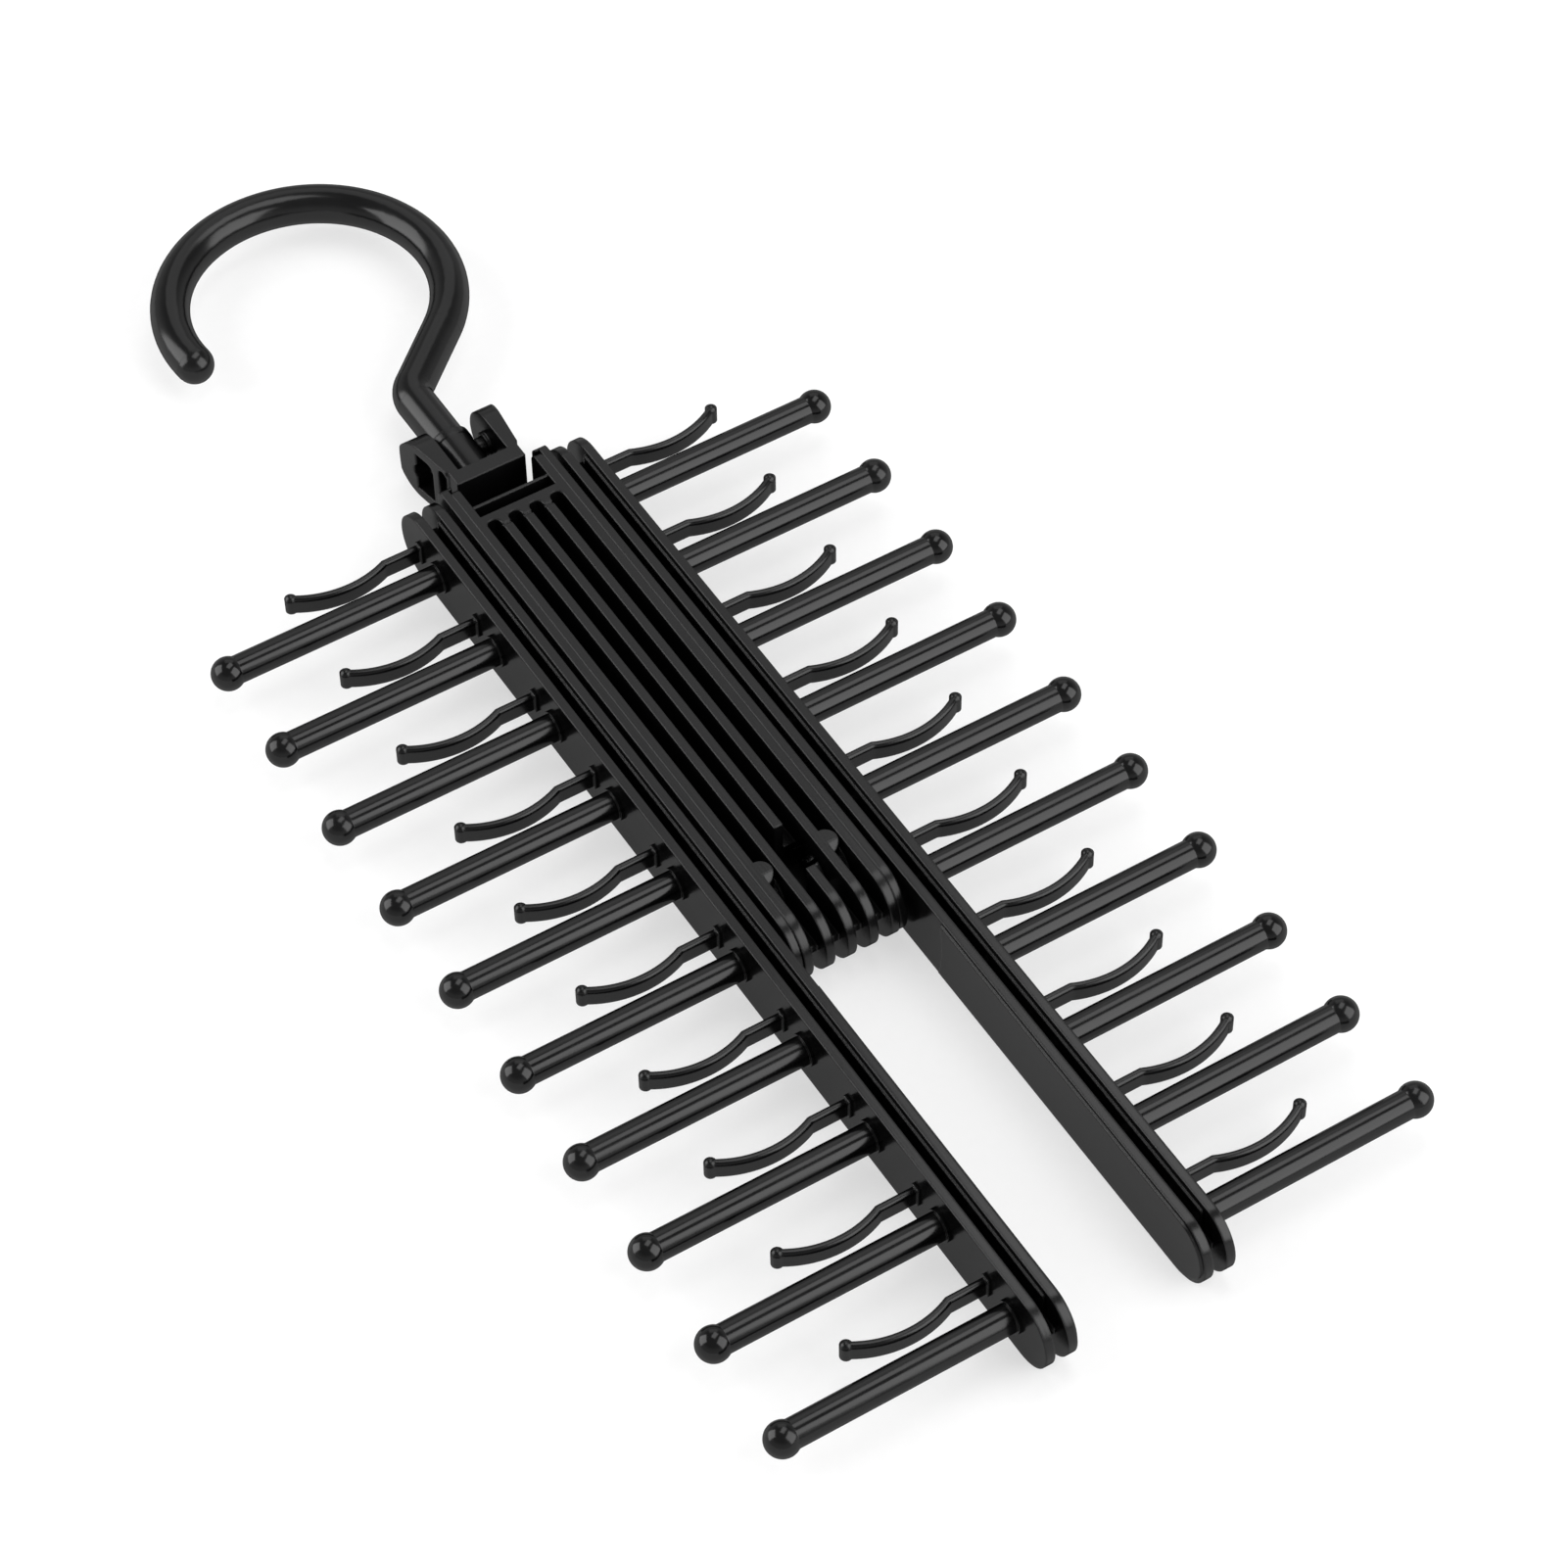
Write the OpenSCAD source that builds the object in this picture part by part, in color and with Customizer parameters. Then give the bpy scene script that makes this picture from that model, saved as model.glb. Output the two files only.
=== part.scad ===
// Folding tie hanger: two ball-tipped prong rails that swing on a ribbed stem, under a swivel hook.
// Millimetres, lying flat: X along the prongs, Y towards the hook, Z up.
// The origin is under the centre of the whole hanger, on the surface it lies on.
// Inside the modules, Y = 0 and Z = 0 are the axis on which the rails swing.

/* [Rails] */
// Distance from one prong to the next
pitch = 23; // [18:0.5:28]
// Prongs on each side
prong_count = 10; // [4:1:10]
// Height of the rails and the stem when the hanger lies flat
depth = 16; // [13:0.5:20]
// Thickness of each plate of a rail
plate_t = 1.9; // [1.4:0.1:2.6]
// Width of the channel between the two plates of a rail
channel_w = 2.8; // [2:0.1:4]
// Thickness of the web that joins the plates half way up
web_t = 1.8; // [1:0.1:3]
// How far the rail runs on past the last prong
lower_overhang = 11; // [9:0.5:16]
// Thickness of the raised pad on the lower half of a rail's inner face
pad_t = 0.45; // [0.2:0.05:0.7]
// Radius of the clear sector round the rail's pivot
pad_arc_r = 29; // [24:0.5:36]
// Thickness of the strips that line the channel
liner_t = 0.5; // [0.3:0.1:0.8]
// How far the lining strips stop below the plates' edges
liner_drop = 1.5; // [0.4:0.1:2]

/* [Prongs] */
// Length of a prong from its plate to the centre of its ball
prong_l = 47.6; // [35:0.5:60]
// Diameter of a prong
prong_d = 5.8; // [4.5:0.1:7]
// Diameter of the ball on a prong
ball_d = 7.0; // [6:0.1:9]
// Diameter of the shoulder where a prong meets its plate
shoulder_d = 6.8; // [6:0.1:8]
// Thickness of that shoulder
shoulder_t = 0.7; // [0.4:0.1:1.5]
// Diameter of the peg that holds a prong in its plate
peg_d = 3.2; // [2.4:0.1:4]

/* [Clips] */
// Distance from a prong's axis to the root of its clip
clip_offset = 7.9; // [7:0.1:9]
// Length of the straight root of a clip
clip_root_l = 8.3; // [6:0.1:10]
// Thickness of the clip bar
clip_t = 1.7; // [1.2:0.1:2.2]
// Height of the clip bar
clip_h = 4.4; // [3.4:0.1:6]
// Radius of the bow of a clip
clip_bow_r = 20.8; // [16:0.2:30]
// Distance from a prong's axis to the lowest point of the bow
clip_low = 6.0; // [5.4:0.1:6.8]
// How far past its lowest point the bow runs
clip_reach = 11.6; // [9:0.1:14]
// Diameter of the bead on the tip of a clip
bead_d = 2.5; // [2:0.1:3.2]
// Height of that bead
bead_h = 4.9; // [4:0.1:6.4]

/* [Stem] */
// Distance from one rib of the stem to the next
rib_pitch = 4.8; // [4.2:0.1:5.6]
// Thickness of a rib
rib_t = 1.9; // [1.4:0.1:2.4]
// Thickness of the plates on the stem's sides
side_plate_t = 1.75; // [1.2:0.05:2.2]
// How far the stem reaches below the pivot
stem_tail = 19; // [16:0.5:28]
// Distance from the pivot to the head bar that closes the ribs
head_bar_y = 104.8; // [80:0.2:108]
// Free gap between a side plate and the rail beside it
swing_gap = 1.3; // [0.8:0.1:2.5]

/* [Pivots] */
// Diameter of the shaft on which a rail swings
shaft_d = 6; // [4.6:0.1:7]
// Radial clearance of every running fit
run_gap = 0.05; // [0.02:0.01:0.1]
// Clearance between faces that slide past each other
slide_gap = 0.12; // [0.08:0.01:0.25]

/* [Yoke] */
// Clear width between the ears
slot_w = 11.4; // [10.4:0.1:13]
// Height of the yoke when the hanger lies flat
yoke_depth = 14.4; // [12:0.2:16]
// Thickness of the yoke's floor
floor_t = 3.6; // [2.6:0.1:5]
// Distance from the floor to the axis on which the hook folds
tilt_rise = 9.1; // [8.4:0.1:11]
// Diameter of the trunnions on which the hook folds
trunnion_d = 4.2; // [3:0.1:5]
// How far the left ear widens, as a share of its length
left_ear_flare = 0.17; // [0:0.01:0.2]
// How far the right ear widens, as a share of its length
right_ear_flare = 0.1; // [0:0.01:0.2]

/* [Hook] */
// Diameter of the hook's bar
bar_d = 8.4; // [6.5:0.1:8.6]
// Radius of the hook's round, to the centre of the bar
hook_r = 29.3; // [24:0.1:36]
// How far the hook's round stands off the shank, sideways
hook_side = 4.5; // [0:0.1:10]
// Distance from the folding axis to the centre of the round
hook_rise = 56; // [50:0.5:70]
// Angle of the straight between the shank and the round
dogleg_angle = 41.7; // [30:0.1:60]
// Angle at which the round ends, past straight up
hook_sweep = 187; // [150:1:200]
// Sideways place of the shank between the ears
shank_x = -0.85; // [-0.85:0.05:0.85]

/* [Hidden] */
$fn = 64;

half_h = depth / 2;
eps = 0.01;

// Stations across the hanger, from the middle outwards
inner_rib_in = rib_pitch - rib_t / 2;
inner_rib_out = rib_pitch + rib_t / 2;
outer_rib_in = 2 * rib_pitch - rib_t / 2;
outer_rib_out = 2 * rib_pitch + rib_t / 2;
side_plate_out = outer_rib_out + side_plate_t;
rail_in = side_plate_out + swing_gap;
channel_in = rail_in + plate_t;
channel_out = channel_in + channel_w;
rail_out = channel_out + plate_t;

// Stations along the hanger
first_prong_y = (prong_count - 1) / 2 * pitch;
rail_low = -first_prong_y - lower_overhang;
rail_high = first_prong_y + clip_offset + half_h;
head_bar_t = 1.8;
groove_w = 3;
lip_t = 0.6;
pocket_l = 7.3;
cheek_l = 6.4;
yoke_y = head_bar_y + head_bar_t + groove_w + lip_t + pocket_l;
floor_y = yoke_y + floor_t;
tilt_y = floor_y + tilt_rise;
round_x = shank_x - hook_side;
round_y = tilt_y + hook_rise;

// The whole hanger's box, which places the origin
low_y = rail_low;
high_y = round_y + hook_r + bar_d / 2;
module in_frame() {
    translate([0, -(low_y + high_y) / 2, half_h]) children();
}

// Place of a prong, counted from the hook
function prong_y(i) = first_prong_y - (i - 1) * pitch;

// Extrudes a Y-Z outline along X, from x = from to x = to
module across(from, to) {
    translate([from, 0, 0])
        rotate([90, 0, 90])
            linear_extrude(to - from) children();
}

// A straight outline with a half round at each end
module stadium(low, high, r) {
    translate([low + r, -r]) square([high - low - 2 * r, 2 * r]);
    translate([low + r, 0]) circle(r);
    translate([high - r, 0]) circle(r);
}

// A cylinder along X, from x = from to x = to
module axle(d, from, to) {
    translate([from, 0, 0]) rotate([0, 90, 0]) cylinder(d = d, h = to - from);
}

// Rails

shoulder_gap = 0.15;
barb_d = shaft_d + 1;
barb_l = 1.5;
barb_slit = 1.1;
clip_peg_w = 1.3;
clip_peg_h = 3.2;
seat_gap = 0.03;
pad_inset = 0.8;

module rail_plates() {
    across(rail_in, channel_in) stadium(rail_low, rail_high, half_h);
    across(channel_out, rail_out) stadium(rail_low, rail_high, half_h);
    web_inset = 4.5;
    across(channel_in - eps, channel_out + eps)
        translate([rail_low + web_inset, -web_t / 2])
            square([rail_high - rail_low - 2 * web_inset, web_t]);
}

module channel_liners() {
    liner_h = half_h - liner_drop;
    liner_low = rail_low + half_h;
    liner_l = rail_high - rail_low - 2 * half_h;
    for (x = [channel_in - eps, channel_out - liner_t])
        across(x, x + liner_t + eps)
            translate([liner_low, -liner_h]) square([liner_l, 2 * liner_h]);
}

// Raised pad on the inner face, cut back round the pivot
module rail_pad() {
    across(rail_in - pad_t, rail_in + eps)
        difference() {
            intersection() {
                stadium(rail_low + pad_inset, rail_high, half_h - pad_inset);
                translate([rail_low, -half_h]) square([-rail_low - pad_arc_r / 2, depth]);
            }
            circle(pad_arc_r, $fn = 128);
        }
}

// Shaft that snaps into the stem: shoulder, journal and split barb
module rail_shaft() {
    shaft_end = inner_rib_in - slide_gap;
    axle(shaft_d + 4, side_plate_out + shoulder_gap, rail_in + eps);
    difference() {
        union() {
            axle(shaft_d, shaft_end - barb_l, rail_in + eps);
            translate([shaft_end - barb_l, 0, 0])
                rotate([0, 90, 0])
                    cylinder(d1 = shaft_d - 1, d2 = barb_d, h = barb_l);
        }
        translate([shaft_end - barb_l - 1, -barb_slit / 2, -half_h])
            cube([barb_l + rib_t + 1, barb_slit, depth]);
    }
}

module prong_sockets() {
    for (i = [1:prong_count])
        translate([0, prong_y(i), 0]) {
            axle(peg_d + 2 * seat_gap, channel_out - liner_t - 1, rail_out + 1);
            translate([channel_out - liner_t - 1, clip_offset - clip_peg_w / 2 - seat_gap,
                       -clip_peg_h / 2 - seat_gap])
                cube([plate_t + liner_t + 2, clip_peg_w + 2 * seat_gap, clip_peg_h + 2 * seat_gap]);
        }
}

module rail() {
    color([0.07, 0.07, 0.075])
        difference() {
            union() {
                rail_plates();
                channel_liners();
                rail_pad();
                rail_shaft();
            }
            prong_sockets();
        }
}

module left_rail() {
    in_frame() mirror([1, 0, 0]) rail();
}

module right_rail() {
    in_frame() rail();
}

// Prongs and clips

peg_l = plate_t + liner_t - 0.1;

module prong() {
    color([0.08, 0.08, 0.085])
        translate([rail_out, 0, 0]) {
            axle(peg_d, -peg_l, eps);
            axle(shoulder_d, 0, shoulder_t);
            axle(prong_d, 0, prong_l);
            translate([prong_l, 0, 0]) sphere(d = ball_d);
        }
}

// Upright outline of the clip bar, rounded along its top and bottom edges
module bar_outline() {
    r = clip_t / 2;
    translate([-r, r - clip_h / 2]) square([clip_t, clip_h - clip_t]);
    for (z = [-1, 1]) translate([0, z * (clip_h / 2 - r)]) circle(r, $fn = 24);
}

module clip() {
    bow_y = clip_low + clip_bow_r;
    kink_drop = clip_offset - clip_low;
    kink_x = rail_out + clip_root_l;
    kink_angle = acos((clip_bow_r - kink_drop) / clip_bow_r);
    bow_x = kink_x + clip_bow_r * sin(kink_angle);
    tip_angle = asin(clip_reach / clip_bow_r);
    cheek_h = clip_h + 0.3;
    cheek_w = clip_t + 0.4;
    color([0.08, 0.08, 0.085]) {
        translate([rail_out - peg_l, clip_offset - clip_peg_w / 2, -clip_peg_h / 2])
            cube([peg_l + eps, clip_peg_w, clip_peg_h]);
        translate([rail_out, clip_offset - cheek_w / 2, -cheek_h / 2])
            cube([0.6, cheek_w, cheek_h]);
        translate([rail_out, clip_offset, 0])
            rotate([90, 0, 90]) linear_extrude(clip_root_l) bar_outline();
        translate([kink_x, clip_offset, 0]) {
            cylinder(d = clip_t, h = clip_h - clip_t, center = true, $fn = 24);
            for (z = [-1, 1]) translate([0, 0, z * (clip_h - clip_t) / 2]) sphere(d = clip_t, $fn = 24);
        }
        translate([bow_x, bow_y, 0])
            rotate([0, 0, -90 - kink_angle])
                rotate_extrude(angle = kink_angle + tip_angle, $fn = 96)
                    translate([clip_bow_r, 0]) bar_outline();
        translate([bow_x + clip_bow_r * sin(tip_angle), bow_y - clip_bow_r * cos(tip_angle), 0]) {
            cylinder(d = bead_d, h = bead_h - bead_d * 0.6, center = true, $fn = 32);
            for (z = [-1, 1])
                translate([0, 0, z * (bead_h - bead_d) / 2]) sphere(d = bead_d, $fn = 32);
        }
    }
}

module side_of(side) {
    if (side == "left") mirror([1, 0, 0]) children();
    else children();
}

module placed_prong(side, i) {
    in_frame() side_of(side) translate([0, prong_y(i), 0]) prong();
}

module placed_clip(side, i) {
    in_frame() side_of(side) translate([0, prong_y(i), 0]) clip();
}

// Stem

cheek_y = yoke_y - pocket_l + cheek_l;
cheek_round = 2;
channel_half = (rib_pitch - rib_t) / 2;
tongue_w = 2 * outer_rib_in - 0.3;
stem_web_low = 3.3 - stem_tail;
bay_low = -3.9;
bay_high = 7.5;
// How far below the shafts' axis the bay reaches, and how far its floor runs on
bay_reach = barb_d / 2 + 0.9;
floor_run = 2.5;
lug_r = 2.5;
tongue_t = 3;
tongue_z = -6.4;
barb_rise = 0.8;
barb_run = 1.8;
bore_d = shaft_d + 2 * run_gap;

// Outline of the stem's side: a half round below, two rounded corners above
module stem_outline(tail, top, corner) {
    translate([half_h - tail, 0]) circle(half_h);
    translate([half_h - tail, -half_h]) square([top + tail - half_h - corner, depth]);
    translate([top - corner - eps, corner - half_h]) square([corner + eps, depth - 2 * corner]);
    for (z = [-1, 1]) translate([top - corner, z * (half_h - corner)]) circle(corner);
}

// One open channel between two ribs, above or below the web, with a rounded end
module channel(x, above) {
    slot_high = head_bar_y - channel_half;
    translate([x, 0, above ? web_t / 2 : -half_h - 1])
        linear_extrude(half_h + 1 - web_t / 2) {
            translate([-channel_half, -stem_tail - 1])
                square([2 * channel_half, slot_high + stem_tail + 1]);
            translate([0, slot_high]) circle(channel_half);
        }
}

// Half-round lug on a rib's side, level with the ribs and bevelled below
module lug(x) {
    bevel = 1.6;
    intersection() {
        translate([x, 0, web_t / 2 - eps])
            difference() {
                cylinder(r = lug_r, h = half_h - web_t / 2 + eps);
                translate([0, -lug_r - 0.4, half_h - web_t / 2 - bevel])
                    rotate([38, 0, 0]) cube([lug_r + 1, lug_r + 1, lug_r + 2]);
            }
        translate([x - eps, -lug_r, 0]) cube([2 * channel_half, 2 * lug_r, half_h]);
    }
}

module stem_core() {
    difference() {
        across(-outer_rib_out, outer_rib_out) stem_outline(stem_tail, cheek_y, cheek_round);
        for (x = [-1.5, -0.5, 0.5, 1.5]) {
            channel(x * rib_pitch, true);
            channel(x * rib_pitch, false);
            translate([x * rib_pitch - channel_half, -stem_tail - 1, -half_h])
                cube([2 * channel_half, 1 + stem_tail + stem_web_low, depth]);
        }
    }
    for (x = [-1.5, 1.5])
        translate([x * rib_pitch, 0, 0]) axle(shaft_d + 3, -channel_half - eps, channel_half + eps);
    lug(-outer_rib_in);
    lug(inner_rib_out);
}

// Plate that closes the bay under the shafts' ends
module bay_floor() {
    translate([-inner_rib_in - eps, bay_low - floor_run, -bay_reach - web_t])
        cube([2 * (inner_rib_in + eps), bay_high - bay_low + 2 * floor_run, web_t]);
}

module head_slots() {
    groove_y = head_bar_y + head_bar_t;
    pocket_y = groove_y + groove_w + lip_t;
    clear_w = 2 * outer_rib_in;
    translate([-clear_w / 2, groove_y, -half_h - 1]) cube([clear_w, groove_w, depth + 2]);
    translate([-clear_w / 2, pocket_y, -half_h - 1]) cube([clear_w, cheek_l + 1, depth + 2]);
    lip_drop = 0.4;
    for (z = [half_h - lip_drop, -half_h - 1])
        translate([-clear_w / 2, groove_y, z])
            cube([clear_w, groove_w + lip_t + 1, 1 + lip_drop]);
    translate([-tongue_w / 2 - seat_gap, head_bar_y - eps, tongue_z - seat_gap])
        cube([tongue_w + 2 * seat_gap, cheek_l + groove_w + 3, tongue_t + 2 * seat_gap]);
    translate([-tongue_w / 2 - seat_gap, head_bar_y - barb_run - slide_gap, tongue_z - seat_gap])
        cube([tongue_w + 2 * seat_gap, barb_run + slide_gap, tongue_t + barb_rise + slide_gap]);
}

module stem() {
    rib_dip = 0.35;
    color([0.06, 0.06, 0.065])
        in_frame()
            difference() {
                union() {
                    stem_core();
                    bay_floor();
                }
                head_slots();
                translate([-inner_rib_in, bay_low, -bay_reach])
                    cube([2 * inner_rib_in, bay_high - bay_low, bay_reach + half_h + 1]);
                for (z = [half_h - rib_dip, -half_h - 1])
                    translate([-inner_rib_out - eps, head_bar_y - 2.6, z])
                        cube([2 * inner_rib_out + 2 * eps, 0.7, rib_dip + 1]);
                axle(bore_d, -outer_rib_out - 1, outer_rib_out + 1);
            }
}

// Plate on the stem's side, between its outer rib and the rail, hooked over the rib's top end
module side_plate() {
    end_gap = 0.3;
    return_l = 1.4;
    color([0.07, 0.07, 0.075])
        difference() {
            union() {
                across(outer_rib_out, side_plate_out)
                    stem_outline(stem_tail - end_gap, cheek_y + return_l, cheek_round);
                across(outer_rib_out - rib_t / 2, side_plate_out)
                    intersection() {
                        stem_outline(stem_tail, cheek_y + return_l, cheek_round);
                        translate([cheek_y + seat_gap, -half_h]) square([return_l, depth]);
                    }
            }
            axle(bore_d, outer_rib_out - 1, side_plate_out + 1);
        }
}

module left_side_plate() {
    in_frame() mirror([1, 0, 0]) side_plate();
}

module right_side_plate() {
    in_frame() side_plate();
}

// Yoke

yoke_half = yoke_depth / 2;
base_half_w = 7.85;
ear_start_x = 8.35;
boss_d = trunnion_d + 1.6;
boss_t = 0.8;
window_l = 5.6;
window_h = 10.2;
window_depth = 2.2;
slot_l = 2.5;

// Plan of an ear, from its straight inner face to its flared outer face
module ear_plan(flare) {
    ear_l = tilt_rise + yoke_half;
    nose_cut = 0.4;
    polygon([
        [slot_w / 2, floor_y - 1],
        [base_half_w, floor_y - 1],
        [base_half_w, floor_y + 0.2],
        [ear_start_x, floor_y + 0.6],
        [ear_start_x + flare * (ear_l - 2 * nose_cut), floor_y + ear_l - 2 * nose_cut],
        [ear_start_x + flare * ear_l - nose_cut, floor_y + ear_l],
        [slot_w / 2, floor_y + ear_l],
    ]);
}

module ear(flare) {
    intersection() {
        across(slot_w / 2, slot_w) {
            translate([floor_y - 1, -yoke_half]) square([tilt_rise + 1, yoke_depth]);
            translate([tilt_y, 0]) circle(yoke_half);
        }
        translate([0, 0, -yoke_half]) linear_extrude(yoke_depth) ear_plan(flare);
    }
}

// Outlines of the two openings moulded into an ear's outer face
module ear_windows() {
    corner = 2;
    translate([tilt_y - window_l + 1.3, 0]) {
        translate([0, -window_h / 2]) square([window_l, window_h - corner]);
        translate([corner, -window_h / 2]) square([window_l - corner, window_h]);
        translate([corner, window_h / 2 - corner]) circle(corner);
    }
    slot_high = yoke_half - 0.7 - slot_l / 2;
    translate([floor_y + 0.5, -slot_high]) square([slot_l, 2 * slot_high]);
    for (z = [-1, 1])
        translate([floor_y + 0.5 + slot_l / 2, z * slot_high]) circle(slot_l / 2);
}

module hook_yoke() {
    color([0.07, 0.07, 0.075])
        in_frame() {
            difference() {
                union() {
                    translate([-base_half_w, yoke_y, -yoke_half])
                        cube([2 * base_half_w, floor_t, yoke_depth]);
                    ear(right_ear_flare);
                    mirror([1, 0, 0]) ear(left_ear_flare);
                    translate([0, tilt_y, 0]) axle(boss_d, slot_w / 2 - boss_t, slot_w / 2 + eps);
                }
                translate([0, tilt_y, 0])
                    for (side = ["left", "right"])
                        side_of(side) axle(trunnion_d + 2 * run_gap, slot_w / 2 - boss_t - 1, slot_w);
                for (side = ["left", "right"])
                    side_of(side) across(slot_w / 2 + 1.2, slot_w) ear_windows();
            }
            translate([-tongue_w / 2, head_bar_y - barb_run, tongue_z])
                cube([tongue_w, yoke_y - head_bar_y + barb_run + eps, tongue_t]);
            translate([-tongue_w / 2, head_bar_y - seat_gap, tongue_z + tongue_t])
                rotate([90, 0, 90])
                    linear_extrude(tongue_w)
                        polygon([[0, -eps], [0, barb_rise], [-barb_run, -eps]]);
        }
}

// Swivel block, which folds between the ears and in which the hook turns

block_d = 9.1;
collar_d = 9.5;
collar_w = 1.9;
collar_y = 4.3;
block_reach = tilt_rise - 0.6;
neck_d = 4.6;
neck_head_d = 6.2;
neck_head_l = 1.2;
counterbore_d = neck_head_d + 0.5;
// Where the neck's head bears, below the folding axis
head_depth = 3.2;

module swivel_block() {
    trunnion_end = slot_w / 2 + 1;
    color([0.07, 0.07, 0.075])
        in_frame()
            translate([0, tilt_y, 0])
                difference() {
                    union() {
                        intersection() {
                            translate([shank_x, -block_reach, 0])
                                rotate([-90, 0, 0]) cylinder(d = block_d, h = block_reach + collar_y);
                            axle(2 * block_reach, -slot_w, slot_w);
                        }
                        translate([shank_x, collar_y - collar_w, 0])
                            rotate([-90, 0, 0]) cylinder(d = collar_d, h = collar_w);
                        axle(trunnion_d, -trunnion_end, trunnion_end);
                    }
                    translate([shank_x, -block_reach - 1, 0])
                        rotate([-90, 0, 0]) cylinder(d = neck_d + 2 * run_gap, h = 2 * block_reach);
                    translate([shank_x, -block_reach - 1, 0])
                        rotate([-90, 0, 0])
                            cylinder(d = counterbore_d, h = block_reach + 1 - head_depth);
                }
}

// Hook

bend_r = 6;
// How much thinner the straights are than the bends they run into
ease = 0.04;

// Straight piece of the bar, from a point, at an angle from +X
module bar(x, y, angle, length) {
    translate([x, y, 0]) rotate([0, 0, angle]) axle(bar_d - ease, -ease, length + ease);
}

module hook() {
    // The dogleg leaves the round where it is tangent to it
    tangent_angle = dogleg_angle - 90;
    tangent_x = round_x + hook_r * cos(tangent_angle);
    tangent_y = round_y + hook_r * sin(tangent_angle);
    dogleg_l = (tangent_x - shank_x) / cos(dogleg_angle);
    kink_y = tangent_y - dogleg_l * sin(dogleg_angle);
    // The bend between the shank and the dogleg
    turn = 90 - dogleg_angle;
    setback = bend_r * tan(turn / 2);
    shank_y = tilt_y + collar_y + slide_gap;
    head_y = tilt_y - head_depth - slide_gap;
    color([0.05, 0.05, 0.055])
        in_frame() {
            translate([shank_x, head_y - neck_head_l, 0])
                rotate([-90, 0, 0]) {
                    cylinder(d = neck_d, h = shank_y - head_y + neck_head_l + 1);
                    cylinder(d1 = neck_head_d - 1, d2 = neck_head_d, h = neck_head_l);
                }
            bar(shank_x, shank_y + ease, 90, kink_y - setback - shank_y - ease);
            translate([shank_x + bend_r, kink_y - setback, 0])
                rotate([0, 0, 180 - turn])
                    rotate_extrude(angle = turn, $fn = 96)
                        translate([bend_r, 0]) circle(d = bar_d);
            bar(shank_x + setback * cos(dogleg_angle), kink_y + setback * sin(dogleg_angle),
                dogleg_angle, dogleg_l - setback);
            translate([round_x, round_y, 0]) {
                rotate([0, 0, tangent_angle])
                    rotate_extrude(angle = hook_sweep - tangent_angle, $fn = 128)
                        translate([hook_r, 0]) circle(d = bar_d);
                rotate([0, 0, hook_sweep]) translate([hook_r, -ease, 0]) sphere(d = bar_d - ease);
            }
        }
}

stem();
left_side_plate();
right_side_plate();
hook_yoke();
swivel_block();
hook();
left_rail();
right_rail();
for (side = ["left", "right"])
    for (i = [1:prong_count]) {
        placed_prong(side, i);
        placed_clip(side, i);
    }
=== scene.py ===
"""Looks of the folding tie hanger: black moulded plastic on a white floor."""

import math

import bpy
from mathutils import Matrix, Vector

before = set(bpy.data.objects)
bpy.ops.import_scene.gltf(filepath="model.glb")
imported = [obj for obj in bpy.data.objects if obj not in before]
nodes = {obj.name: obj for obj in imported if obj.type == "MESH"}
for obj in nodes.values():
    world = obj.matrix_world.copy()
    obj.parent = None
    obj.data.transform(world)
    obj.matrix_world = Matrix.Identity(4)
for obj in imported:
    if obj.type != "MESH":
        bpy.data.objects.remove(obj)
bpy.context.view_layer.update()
scene = bpy.context.scene

# Lengths are in metres, angles in degrees
MM = 0.001

# Edges, rounded in the mesh as far as it allows and in the shading for the rest
EDGE_ROUND = 0.65 * MM
CLIP_ROUND = 0.55 * MM
PRONG_ROUND = 0.2 * MM
EDGE_ANGLE = 32
BEVEL_SEGMENTS = 2
BEVEL_SAMPLES = 6
WELD_DISTANCE = 0.002 * MM
FLAT_FACE_WEIGHT = 100

# Shades of the plastic. Gloss and drag lines differ a little from piece to piece.
BLACK = (0.005, 0.005, 0.0052)
DEEP_BLACK = (0.003, 0.003, 0.0032)
FINISHES = {
    "body": {"shade": BLACK, "rough": 0.22, "edge": EDGE_ROUND, "drag": 0.6},
    "rail": {"shade": BLACK, "rough": 0.2, "edge": EDGE_ROUND, "drag": 0.35},
    "prong": {"shade": DEEP_BLACK, "rough": 0.16, "edge": PRONG_ROUND, "drag": 0.0},
    "clip": {"shade": DEEP_BLACK, "rough": 0.15, "edge": CLIP_ROUND, "drag": 0.0},
    "hook": {"shade": BLACK, "rough": 0.17, "edge": EDGE_ROUND, "drag": 0.0},
}

# Flow marks, which shift the shade by these shares and the roughness by these amounts
FLOW_SIZE = 9 * MM
FLOW_STRETCH = (1, 0.35, 1)
FLOW_DARK = 0.75
FLOW_LIGHT = 1.3
FLOW_SMOOTHER = 0.03
FLOW_ROUGHER = 0.04

# Marks in the surface: how wide they are, how deep, and how strongly they show
RIPPLE_SIZE = 6 * MM
RIPPLE_DEPTH = 0.02 * MM
RIPPLE_STRENGTH = 0.4
GRAIN_SIZE = 0.3 * MM
GRAIN_DEPTH = 0.003 * MM
GRAIN_STRENGTH = 0.35
DRAG_SIZE = 0.45 * MM
DRAG_DEPTH = 0.03 * MM
DRAG_STRETCH = (1, 0.01, 0.2)

# The middle part of a noise's values, spread over a whole range of roughness or colour
NOISE_LOW, NOISE_HIGH = 0.3, 0.7
COLOR_LOW, COLOR_HIGH = 0.35, 0.65

# A grey coat that reflects nothing. It dims faces seen at a slant, and stands in for
# the photograph's dark surroundings. Real plastic has no such coat.
SLANT_TINT = (0.7, 0.7, 0.7)

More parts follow.
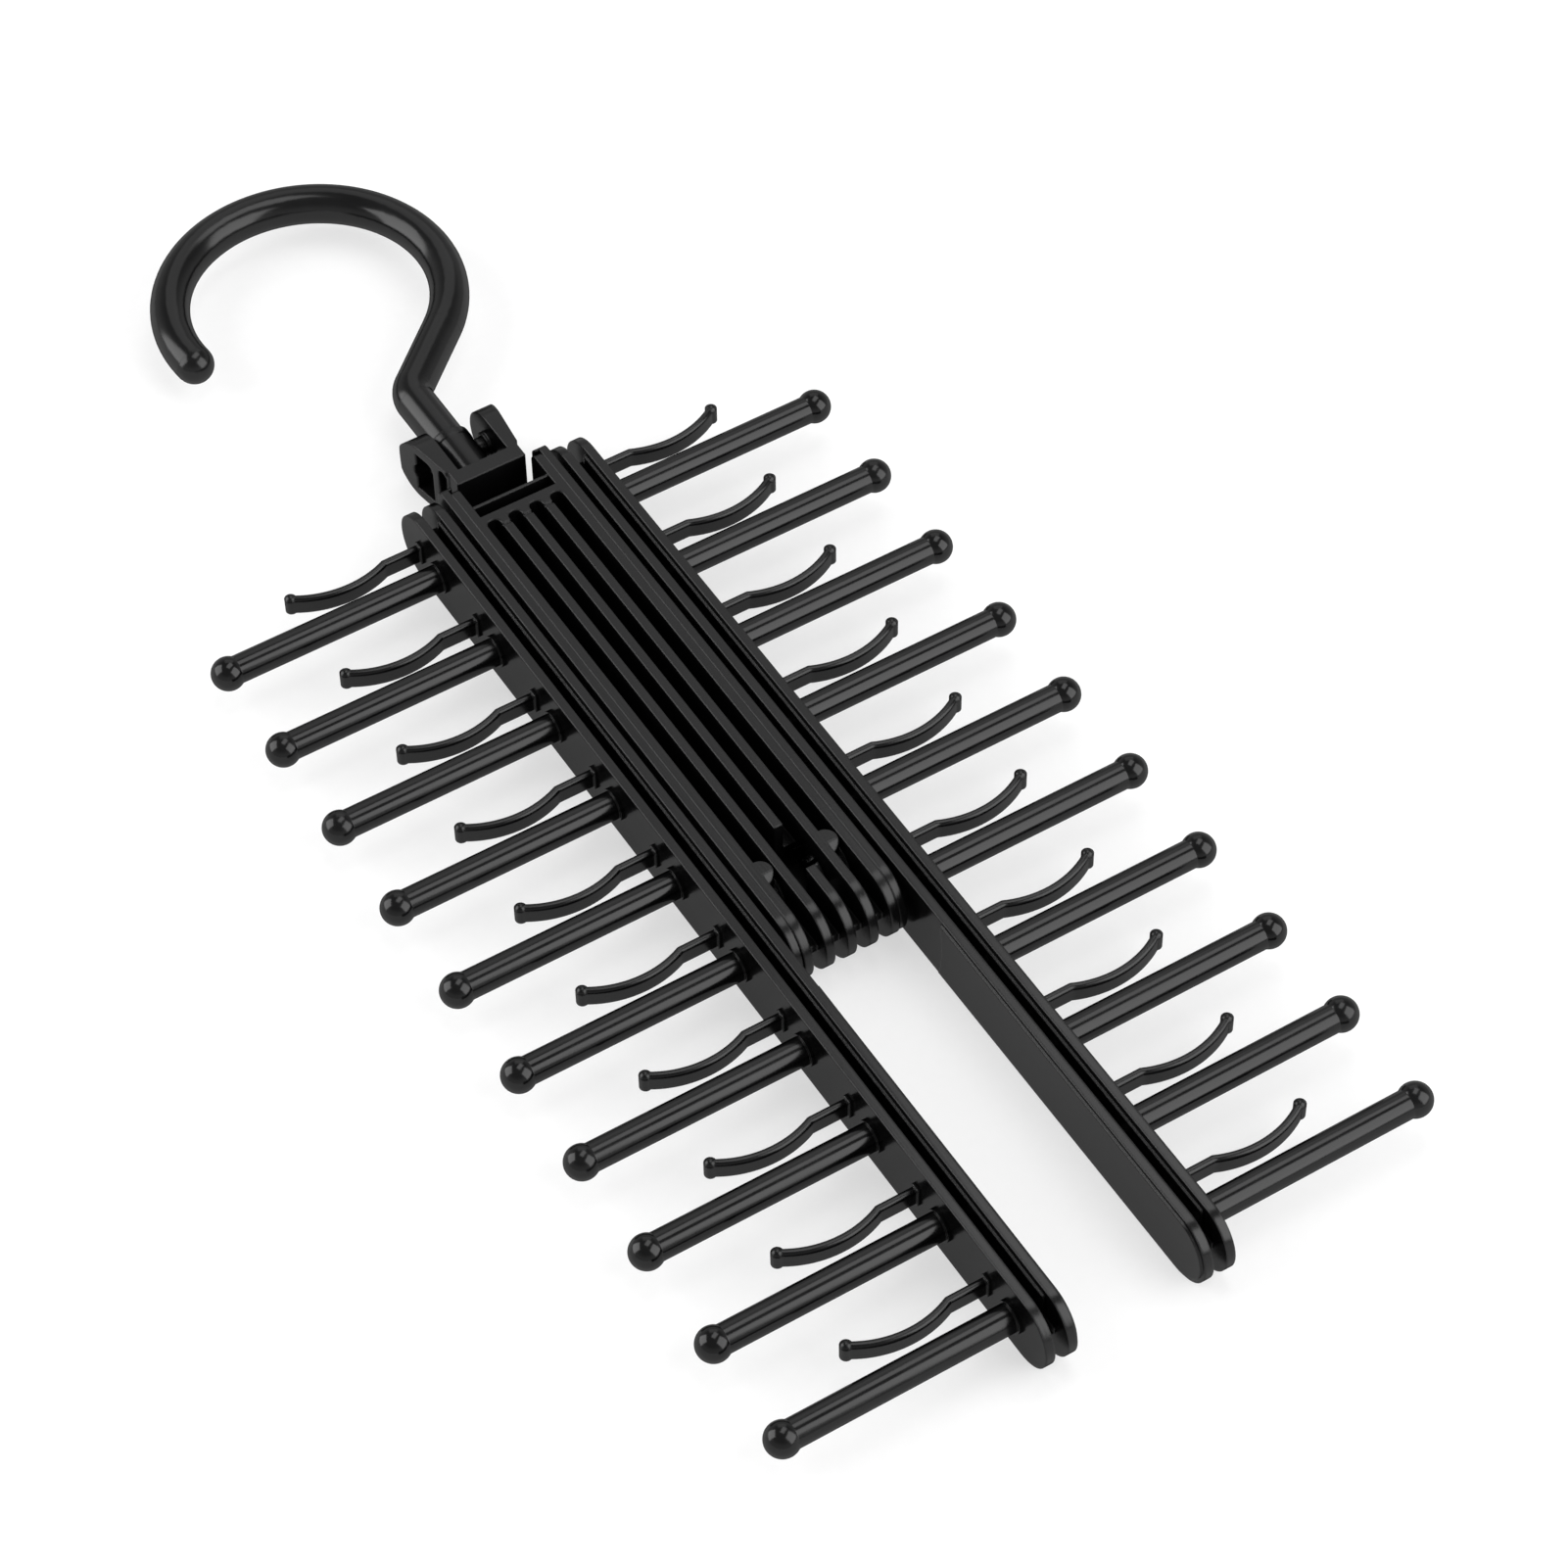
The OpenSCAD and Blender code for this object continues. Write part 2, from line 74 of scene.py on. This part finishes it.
# Floor of white paper. The camera and reflections see this share of it as pure white,
# and the rest by the light that falls on it.
FLOOR_WHITE = 0.6
FLOOR_WIDTH = 6
FLOOR_DROP = 0.2 * MM
PAPER_SIZE = 3 * MM
PAPER_DARK = (0.93, 0.93, 0.93)
PAPER_LIGHT = (0.95, 0.95, 0.95)
PAPER_ROUGH = 0.9

# Light from the walls, which fades into the ceiling's between two heights in the view
# round about, where level is 0 and straight up is 1
WALL_LIGHT = 0.7
CEILING_LIGHT = 0.3
WALL_TOP = 0.2
CEILING_EDGE = 0.7

# Camera, at the photograph's viewing angle. Sensor and lens are in millimetres.
CAMERA_AT = Vector((-0.29561, -0.54087, 0.73))
LOOKS_AT = Vector((0.00973, -0.03125, 0.008))
ROLL = -1.04
SENSOR = 36
LENS = 111.55


# Materials

def new_material(name):
    """A node material that holds a Principled shader and its output."""
    material = bpy.data.materials.new(name)
    material.use_nodes = True
    tree = material.node_tree
    tree.nodes.clear()
    output = tree.nodes.new("ShaderNodeOutputMaterial")
    shader = tree.nodes.new("ShaderNodeBsdfPrincipled")
    tree.links.new(shader.outputs["BSDF"], output.inputs["Surface"])
    return material, tree, shader


def noise(tree, size, detail, stretch=(1, 1, 1)):
    """Noise whose features are about the given size across, in the object's own space."""
    coords = tree.nodes.new("ShaderNodeTexCoord")
    mapping = tree.nodes.new("ShaderNodeMapping")
    mapping.inputs["Scale"].default_value = stretch
    texture = tree.nodes.new("ShaderNodeTexNoise")
    texture.inputs["Scale"].default_value = 1 / size
    texture.inputs["Detail"].default_value = detail
    tree.links.new(coords.outputs["Object"], mapping.inputs["Vector"])
    tree.links.new(mapping.outputs["Vector"], texture.inputs["Vector"])
    return texture.outputs["Fac"]


def spread(tree, value, low, high, start=0.0, end=1.0, smooth=False):
    """Turns the values from start to end into low to high, and holds those outside."""
    node = tree.nodes.new("ShaderNodeMapRange")
    if smooth:
        node.interpolation_type = "SMOOTHSTEP"
    node.inputs["From Min"].default_value = start
    node.inputs["From Max"].default_value = end
    node.inputs["To Min"].default_value = low
    node.inputs["To Max"].default_value = high
    tree.links.new(value, node.inputs["Value"])
    return node.outputs["Result"]


def bump(tree, height, depth, strength, below):
    """Raises the surface by a noise, on top of another surface direction."""
    node = tree.nodes.new("ShaderNodeBump")
    node.inputs["Distance"].default_value = depth
    node.inputs["Strength"].default_value = strength
    tree.links.new(height, node.inputs["Height"])
    tree.links.new(below, node.inputs["Normal"])
    return node.outputs["Normal"]


def mixed_color(tree, factor, dark, light):
    """A colour between two, chosen by a noise."""
    ramp = tree.nodes.new("ShaderNodeValToRGB")
    first, last = ramp.color_ramp.elements
    first.position = COLOR_LOW
    first.color = (*dark, 1)
    last.position = COLOR_HIGH
    last.color = (*light, 1)
    tree.links.new(factor, ramp.inputs["Fac"])
    return ramp.outputs["Color"]


def rounded_edges(tree, width):
    """The surface direction with its sharp edges rounded off."""
    node = tree.nodes.new("ShaderNodeBevel")
    node.samples = BEVEL_SAMPLES
    node.inputs["Radius"].default_value = width
    return node.outputs["Normal"]


def black_plastic(name, shade, rough, edge, drag):
    """Moulded black plastic with flow marks, a slow ripple, a fine grain and drag lines."""
    material, tree, shader = new_material(name)
    shader.inputs["Coat Weight"].default_value = 1.0
    shader.inputs["Coat IOR"].default_value = 1.0
    shader.inputs["Coat Tint"].default_value = (*SLANT_TINT, 1)

    flow = noise(tree, FLOW_SIZE, detail=4, stretch=FLOW_STRETCH)
    dark = tuple(FLOW_DARK * c for c in shade)
    light = tuple(FLOW_LIGHT * c for c in shade)
    tree.links.new(mixed_color(tree, flow, dark, light), shader.inputs["Base Color"])
    roughness = spread(
        tree, flow, rough - FLOW_SMOOTHER, rough + FLOW_ROUGHER, NOISE_LOW, NOISE_HIGH,
    )
    tree.links.new(roughness, shader.inputs["Roughness"])

    ripple = noise(tree, RIPPLE_SIZE, detail=2)
    grain = noise(tree, GRAIN_SIZE, detail=2)
    normal = bump(tree, ripple, RIPPLE_DEPTH, RIPPLE_STRENGTH, rounded_edges(tree, edge))
    normal = bump(tree, grain, GRAIN_DEPTH, GRAIN_STRENGTH, normal)
    if drag:
        lines = noise(tree, DRAG_SIZE, detail=1, stretch=DRAG_STRETCH)
        normal = bump(tree, lines, DRAG_DEPTH, drag, normal)
    tree.links.new(normal, shader.inputs["Normal"])
    return material


def kind_of(name):
    """Which of the finishes a CAD node has, from its name."""
    if name == "hook":
        return "hook"
    for kind in ("prong", "clip"):
        if "_%s_" % kind in name:
            return kind
    if name.endswith("_rail"):
        return "rail"
    return "body"


def soften_edges(obj, width):
    """Rounds the sharp edges, held back where a bevel would run into its neighbour."""
    weld = obj.modifiers.new("weld", "WELD")
    weld.merge_threshold = WELD_DISTANCE
    bevel = obj.modifiers.new("edges", "BEVEL")
    bevel.width = width
    bevel.segments = BEVEL_SEGMENTS
    bevel.limit_method = "ANGLE"
    bevel.angle_limit = math.radians(EDGE_ANGLE)
    bevel.use_clamp_overlap = True
    bevel.harden_normals = True
    flat = obj.modifiers.new("flat_faces", "WEIGHTED_NORMAL")
    flat.mode = "FACE_AREA"
    flat.weight = FLAT_FACE_WEIGHT
    flat.keep_sharp = False


plastics = {
    kind: black_plastic(kind + "_plastic", **finish)
    for kind, finish in FINISHES.items()
}

for name, obj in nodes.items():
    kind = kind_of(name)
    obj.data.materials.clear()
    obj.data.materials.append(plastics[kind])
    # Stored surface directions would hide the rounded edges
    if "custom_normal" in obj.data.attributes:
        obj.data.attributes.remove(obj.data.attributes["custom_normal"])
    for face in obj.data.polygons:
        face.use_smooth = True
    soften_edges(obj, FINISHES[kind]["edge"])


# Floor and walls

def background_seen(tree):
    """1 where the camera, a reflection or a transmitted ray looks, 0 for light on a surface."""
    path = tree.nodes.new("ShaderNodeLightPath")
    seen = path.outputs["Is Camera Ray"]
    for ray in ("Is Glossy Ray", "Is Transmission Ray"):
        either = tree.nodes.new("ShaderNodeMath")
        either.operation = "MAXIMUM"
        tree.links.new(seen, either.inputs[0])
        tree.links.new(path.outputs[ray], either.inputs[1])
        seen = either.outputs[0]
    return seen


def studio_world():
    """Pale walls all round and a dim ceiling."""
    world = bpy.data.worlds.new("studio")
    world.use_nodes = True
    tree = world.node_tree
    light = tree.nodes["Background"]
    coords = tree.nodes.new("ShaderNodeTexCoord")
    split = tree.nodes.new("ShaderNodeSeparateXYZ")
    tree.links.new(coords.outputs["Generated"], split.inputs["Vector"])
    strength = spread(
        tree, split.outputs["Z"], WALL_LIGHT, CEILING_LIGHT, WALL_TOP, CEILING_EDGE, smooth=True,
    )
    tree.links.new(strength, light.inputs["Strength"])
    light.inputs["Color"].default_value = (1, 1, 1, 1)
    scene.world = world


def floor():
    """White paper, partly at the background's own white, so that shadows on it stay faint."""
    bpy.ops.mesh.primitive_plane_add(size=FLOOR_WIDTH, location=(0, 0, -FLOOR_DROP))
    plane = bpy.context.object
    plane.name = "floor"
    material, tree, shader = new_material("floor_paper")
    paper = noise(tree, PAPER_SIZE, detail=3)
    color = mixed_color(tree, paper, PAPER_DARK, PAPER_LIGHT)
    tree.links.new(color, shader.inputs["Base Color"])
    shader.inputs["Roughness"].default_value = PAPER_ROUGH
    white = tree.nodes.new("ShaderNodeEmission")
    mix = tree.nodes.new("ShaderNodeMixShader")
    output = next(n for n in tree.nodes if n.type == "OUTPUT_MATERIAL")
    tree.links.new(spread(tree, background_seen(tree), 0.0, FLOOR_WHITE), mix.inputs[0])
    tree.links.new(shader.outputs["BSDF"], mix.inputs[1])
    tree.links.new(white.outputs["Emission"], mix.inputs[2])
    tree.links.new(mix.outputs[0], output.inputs["Surface"])
    plane.data.materials.append(material)


studio_world()
floor()


# Lamps. With the walls they light a level surface about 1.4 times as strongly as the
# plain level, measured with grey cards beside the hanger. This is an open fault.

def soft_box(name, azimuth, elevation, distance, size, radiance):
    """A rectangular lamp that faces the object, of the given brightness."""
    around = math.radians(azimuth)
    above = math.radians(elevation)
    place = distance * Vector((
        math.cos(above) * math.cos(around),
        math.cos(above) * math.sin(around),
        math.sin(above),
    ))
    light = bpy.data.lights.new(name, "AREA")
    light.shape = "RECTANGLE"
    light.size, light.size_y = size
    light.energy = radiance * math.pi * size[0] * size[1]
    lamp = bpy.data.objects.new(name, light)
    lamp.location = place
    lamp.rotation_euler = (-place).to_track_quat("-Z", "Y").to_euler()
    lamp.visible_camera = False
    scene.collection.objects.link(lamp)


soft_box("left_back", azimuth=146, elevation=28, distance=1.15, size=(0.95, 0.95), radiance=4.0)
soft_box("right_front", azimuth=-50, elevation=34, distance=1.15, size=(1.05, 1.1), radiance=3.4)
soft_box("over_head", azimuth=30, elevation=74, distance=1.2, size=(0.5, 0.85), radiance=2.7)
soft_box("back_fill", azimuth=59, elevation=42, distance=1.3, size=(0.9, 0.7), radiance=0.8)


# Camera

camera_data = bpy.data.cameras.new("camera")
camera_data.sensor_width = SENSOR
camera_data.lens = LENS
camera = bpy.data.objects.new("camera", camera_data)
aim = (LOOKS_AT - CAMERA_AT).to_track_quat("-Z", "Y").to_matrix().to_4x4()
roll = Matrix.Rotation(math.radians(ROLL), 4, "Z")
camera.matrix_world = Matrix.Translation(CAMERA_AT) @ aim @ roll
scene.collection.objects.link(camera)
scene.camera = camera

scene.view_settings.view_transform = "Standard"
